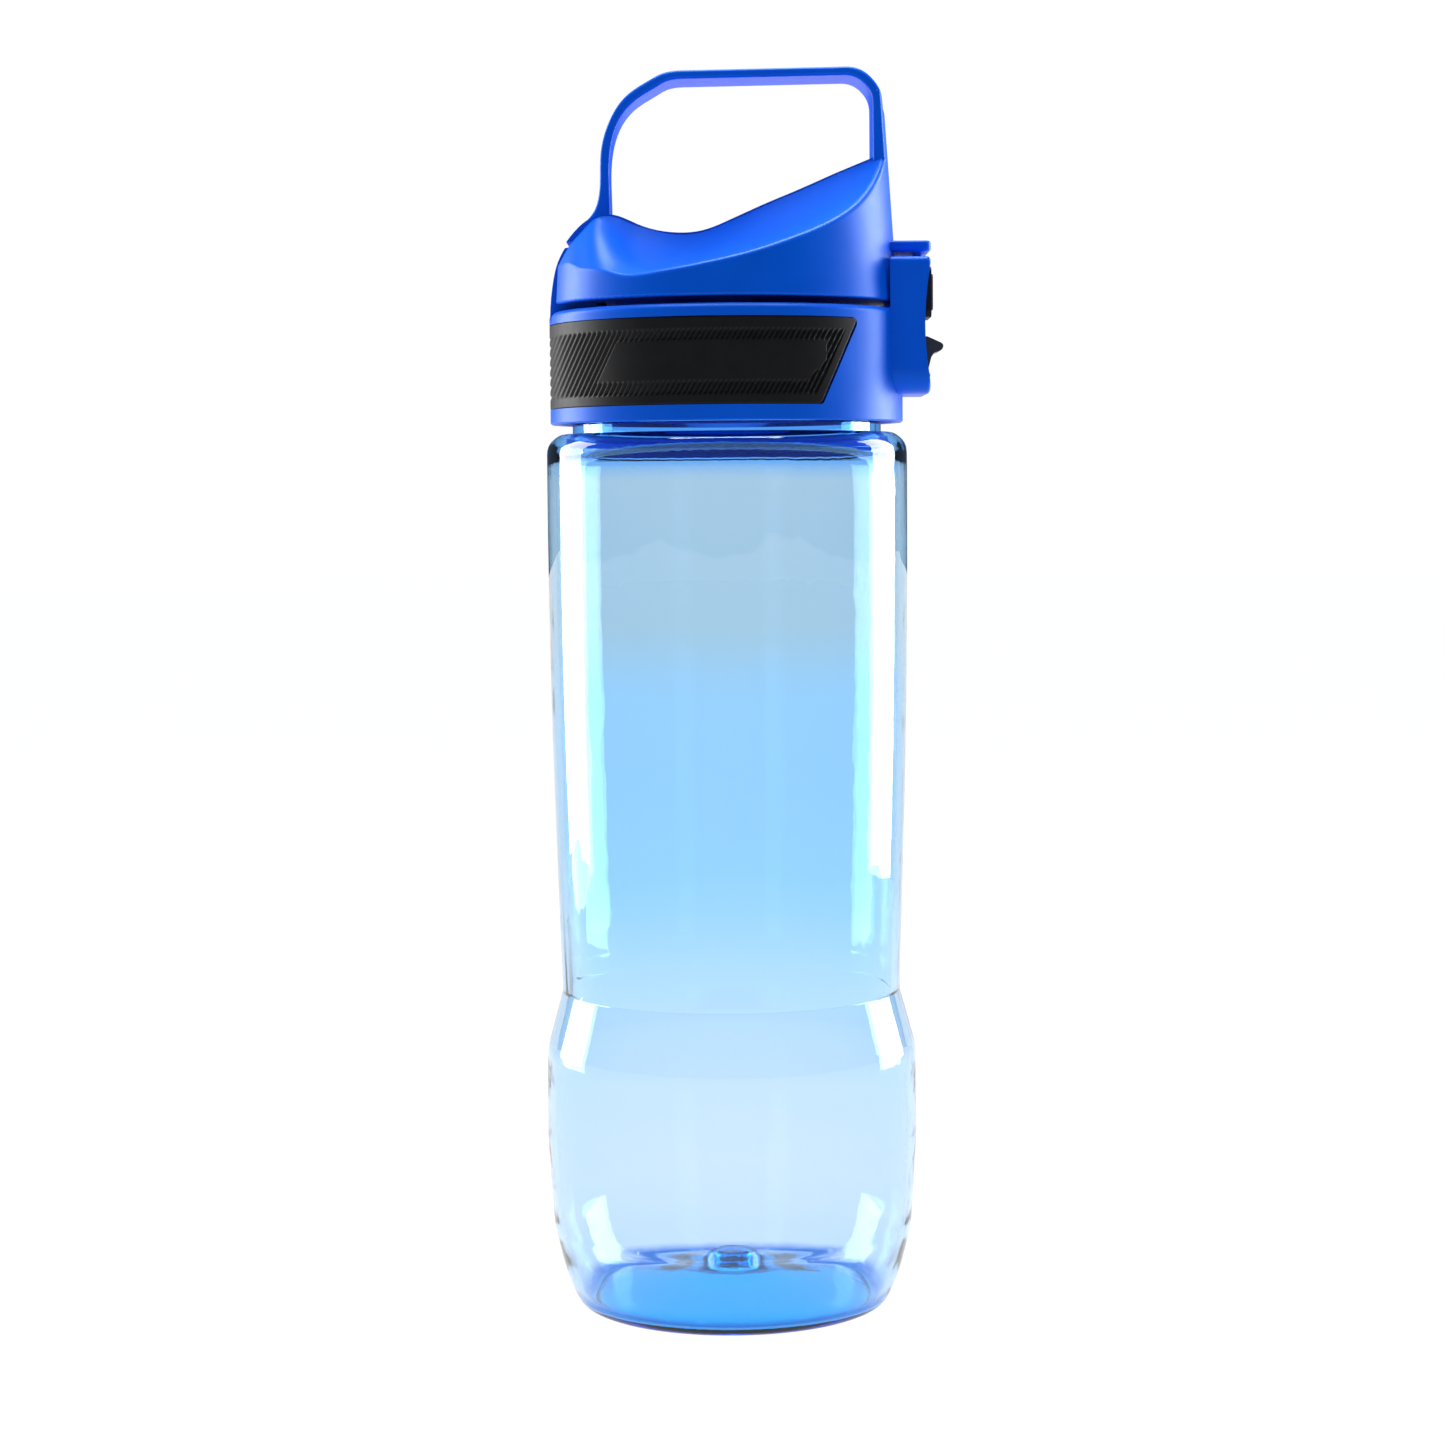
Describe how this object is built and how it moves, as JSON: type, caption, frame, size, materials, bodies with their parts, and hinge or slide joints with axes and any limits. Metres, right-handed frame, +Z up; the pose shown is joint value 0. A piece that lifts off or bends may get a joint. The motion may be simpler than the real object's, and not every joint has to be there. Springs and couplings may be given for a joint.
{
  "type": "flip-top water bottle",
  "caption": "Clear blue water bottle with a screw collar, ribbed grip band, push-button flip lid with a fixed carry loop, and a sliding lock.",
  "frame": {"origin": "centre of the foot ring, on the bottle's axis, in the plane that the bottle stands on", "axes": "+Z up along the bottle's axis, +X towards the latch, -X towards the hinge"},
  "size_m": [0.0845, 0.0786, 0.2592],
  "materials": {
    "clear_blue_copolyester": "transparent blue, polished",
    "blue_polypropylene": "satin, moulded",
    "black_elastomer": "matt, with fine diagonal ribs",
    "black_plastic": "satin, moulded",
    "clear_silicone": "matt, translucent",
    "spring_steel": "bright drawn wire",
    "light_blue_plastic": "satin, moulded"
  },
  "bodies": {
    "bottle": {"bottle_body": "clear_blue_copolyester"},
    "gasket": {"neck_gasket": "clear_silicone"},
    "collar": {"collar_shell": "blue_polypropylene", "inner_cap": "blue_polypropylene", "drinking_spout": "blue_polypropylene", "spout_o_ring": "clear_silicone", "vent_valve": "clear_silicone", "grip_band": "black_elastomer", "hinge_pin": "spring_steel", "hinge_spring": "spring_steel", "latch_retainer": "blue_polypropylene", "latch_spring": "spring_steel", "lock_marker": "light_blue_plastic"},
    "lid": {"lid_shell": "blue_polypropylene", "lid_liner": "blue_polypropylene", "spout_seal": "clear_silicone", "vent_plug": "clear_silicone"},
    "button": {"latch_button": "black_elastomer", "latch_hook": "black_plastic"},
    "slider": {"lock_slider": "black_plastic"}
  },
  "joints": [
    {"name": "closure_lift", "type": "slide", "parent": "bottle", "child": "gasket", "axis": [0, 0, 1], "range_m": [0, 0.0071]},
    {"name": "closure_turn", "type": "hinge", "parent": "gasket", "child": "collar", "pos_m": [0, 0, 0.2], "axis": [0, 0, 1], "range_deg": [0, 630]},
    {"name": "lid_hinge", "type": "hinge", "parent": "collar", "child": "lid", "pos_m": [-0.0318, 0, 0.2174], "axis": [0, -1, 0], "range_deg": [0, 110]},
    {"name": "button_press", "type": "slide", "parent": "collar", "child": "button", "axis": [-1, 0, 0], "range_m": [0, 0.001], "stiffness_N_per_m": 800, "springref_m": -0.002, "deforming": ["latch_spring"]},
    {"name": "lock_slide", "type": "slide", "parent": "collar", "child": "slider", "axis": [0, 0, 1], "range_m": [0, 0.002]}
  ],
  "couplings": [
    {"joint": "closure_lift", "follows": "closure_turn", "m_per_rad": 0.00063662}
  ]
}
